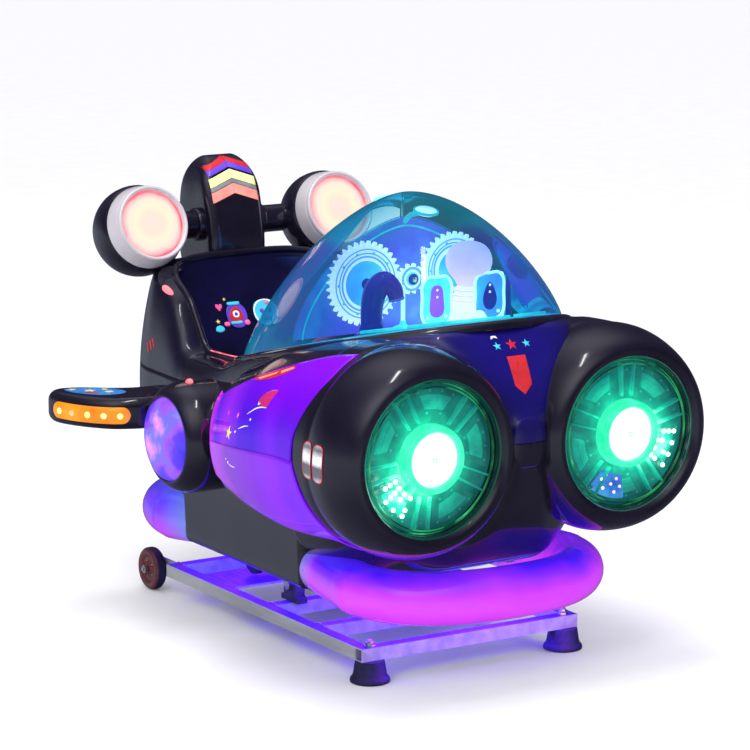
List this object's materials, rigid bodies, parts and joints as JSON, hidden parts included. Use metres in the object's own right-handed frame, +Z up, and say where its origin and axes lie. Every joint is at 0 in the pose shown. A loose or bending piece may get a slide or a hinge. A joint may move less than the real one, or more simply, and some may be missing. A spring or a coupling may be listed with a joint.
{
  "type": "kiddie ride machine",
  "caption": "Coin-operated rocking ride: a small spacecraft with round headlamps, a clear dome, wings and a seat, on a steel frame with feet and rear wheels.",
  "frame": {"origin": "centre of the bounding box at floor level", "axes": "nose and headlamps towards -Y, tail towards +Y, +Z up, X across, mirror plane at X = 0"},
  "size_m": [1.184, 1.486, 1.0445],
  "materials": {
    "galvanised_tube": "zinc-plated square tube, dull grey",
    "bright_steel": "bright zinc fasteners and turned shaft",
    "dark_castings": "dark painted castings and drive parts",
    "rubber": "matte moulded rubber",
    "castor_wheel": "rubber tyre on a maroon core",
    "gloss_black_shell": "glossy black gelcoat on fibreglass",
    "violet_panel": "translucent violet panel lit from inside",
    "teal_lens": "clear teal moulded lens lit from inside",
    "violet_lens": "domed blue-violet lens lit from inside",
    "magenta_tube": "translucent tube glowing magenta and violet",
    "amber_lens": "amber lens",
    "pearl_ring": "pearl silver paint",
    "lamp_face": "warm white diffuser",
    "blue_dome": "clear blue acrylic",
    "show_gear": "white acrylic lit cyan",
    "red_plastic": "red moulded plastic"
  },
  "bodies": {
    "base": {"front_beam": "galvanised_tube", "rear_beam": "galvanised_tube", "front_crossbeam": "galvanised_tube", "pivot_crossbeam": "galvanised_tube", "motor_plate": "galvanised_tube", "side_rail_left": "galvanised_tube", "side_rail_right": "galvanised_tube", "foot_bolt_left": "bright_steel", "foot_bolt_right": "bright_steel", "axle_bolt_left": "bright_steel", "axle_bolt_right": "bright_steel", "foot_left": "rubber", "foot_right": "rubber", "pillow_block_left": "dark_castings", "pillow_block_right": "dark_castings", "gearbox": "dark_castings", "motor": "dark_castings"},
    "wheel_left": {"rear_wheel_left": "castor_wheel"},
    "wheel_right": {"rear_wheel_right": "castor_wheel"},
    "crank": {"crank_disc": "bright_steel"},
    "rod": {"connecting_rod": "dark_castings"},
    "gear_a": {"gear_left": "show_gear"},
    "gear_b": {"gear_small": "show_gear"},
    "gear_c": {"gear_right": "show_gear"},
    "steering": {"steering_wheel": "red_plastic"},
    "horn": {"horn_button": "amber_lens"},
    "start": {"start_button": "red_plastic"},
    "hull": {"pivot_shaft": "bright_steel", "hull_frame": "dark_castings", "steering_column": "dark_castings", "control_box": "dark_castings", "upper_shell": "gloss_black_shell", "lower_shell": "gloss_black_shell", "cockpit_tub": "gloss_black_shell", "headrest_fin": "gloss_black_shell", "lamp_bar": "gloss_black_shell", "headlight_shell_left": "gloss_black_shell", "headlight_shell_right": "gloss_black_shell", "side_pod_left": "gloss_black_shell", "side_pod_right": "gloss_black_shell", "wing_left": "gloss_black_shell", "wing_right": "gloss_black_shell", "lamp_housing_left": "gloss_black_shell", "lamp_housing_right": "gloss_black_shell", "nacelle_panel_left": "violet_panel", "headlight_lens_left": "teal_lens", "side_lens_left": "violet_lens", "wing_lamp_left": "amber_lens", "lamp_ring_left": "pearl_ring", "lamp_face_left": "lamp_face", "nacelle_panel_right": "violet_panel", "headlight_lens_right": "teal_lens", "side_lens_right": "violet_lens", "wing_lamp_right": "amber_lens", "lamp_ring_right": "pearl_ring", "lamp_face_right": "lamp_face", "light_ring_front": "magenta_tube", "light_ring_rear": "magenta_tube", "dome": "blue_dome", "gear_backplate": "blue_dome"}
  },
  "joints": [
    {"name": "body_rock", "type": "hinge", "parent": "base", "child": "hull", "pos_m": [0, -0.048, 0.12], "axis": [1, 0, 0], "range_deg": [-3, 3]},
    {"name": "crank_spin", "type": "hinge", "parent": "base", "child": "crank", "pos_m": [0, 0.207, 0.13], "axis": [1, 0, 0], "continuous": true},
    {"name": "rod_pivot", "type": "hinge", "parent": "crank", "child": "rod", "pos_m": [0.09, 0.2204, 0.13], "axis": [1, 0, 0], "continuous": true},
    {"name": "wheel_left_spin", "type": "hinge", "parent": "base", "child": "wheel_left", "pos_m": [-0.285, 0.497, 0.052], "axis": [1, 0, 0], "continuous": true},
    {"name": "wheel_right_spin", "type": "hinge", "parent": "base", "child": "wheel_right", "pos_m": [0.285, 0.497, 0.052], "axis": [1, 0, 0], "continuous": true},
    {"name": "gear_a_spin", "type": "hinge", "parent": "hull", "child": "gear_a", "pos_m": [-0.12055, -0.227, 0.846], "axis": [0, 1, 0], "continuous": true},
    {"name": "gear_b_spin", "type": "hinge", "parent": "hull", "child": "gear_b", "pos_m": [0.004, -0.227, 0.846], "axis": [0, 1, 0], "continuous": true},
    {"name": "gear_c_spin", "type": "hinge", "parent": "hull", "child": "gear_c", "pos_m": [0.11709, -0.227, 0.86], "axis": [0, 1, 0], "continuous": true},
    {"name": "steering_turn", "type": "hinge", "parent": "hull", "child": "steering", "pos_m": [0, 0.073, 0.64], "axis": [0, 0.6428, 0.766], "continuous": true},
    {"name": "horn_press", "type": "slide", "parent": "steering", "child": "horn", "axis": [0, -0.6428, -0.766], "range_m": [0, 0.003], "stiffness_N_per_m": 800},
    {"name": "start_press", "type": "slide", "parent": "hull", "child": "start", "axis": [0, -1, 0], "range_m": [0, 0.004], "stiffness_N_per_m": 800}
  ],
  "couplings": [
    {"joint": "rod_pivot", "follows": "crank_spin", "ratio": -1},
    {"joint": "gear_b_spin", "follows": "gear_a_spin", "ratio": -2.9167},
    {"joint": "gear_c_spin", "follows": "gear_a_spin", "ratio": 1.129}
  ]
}
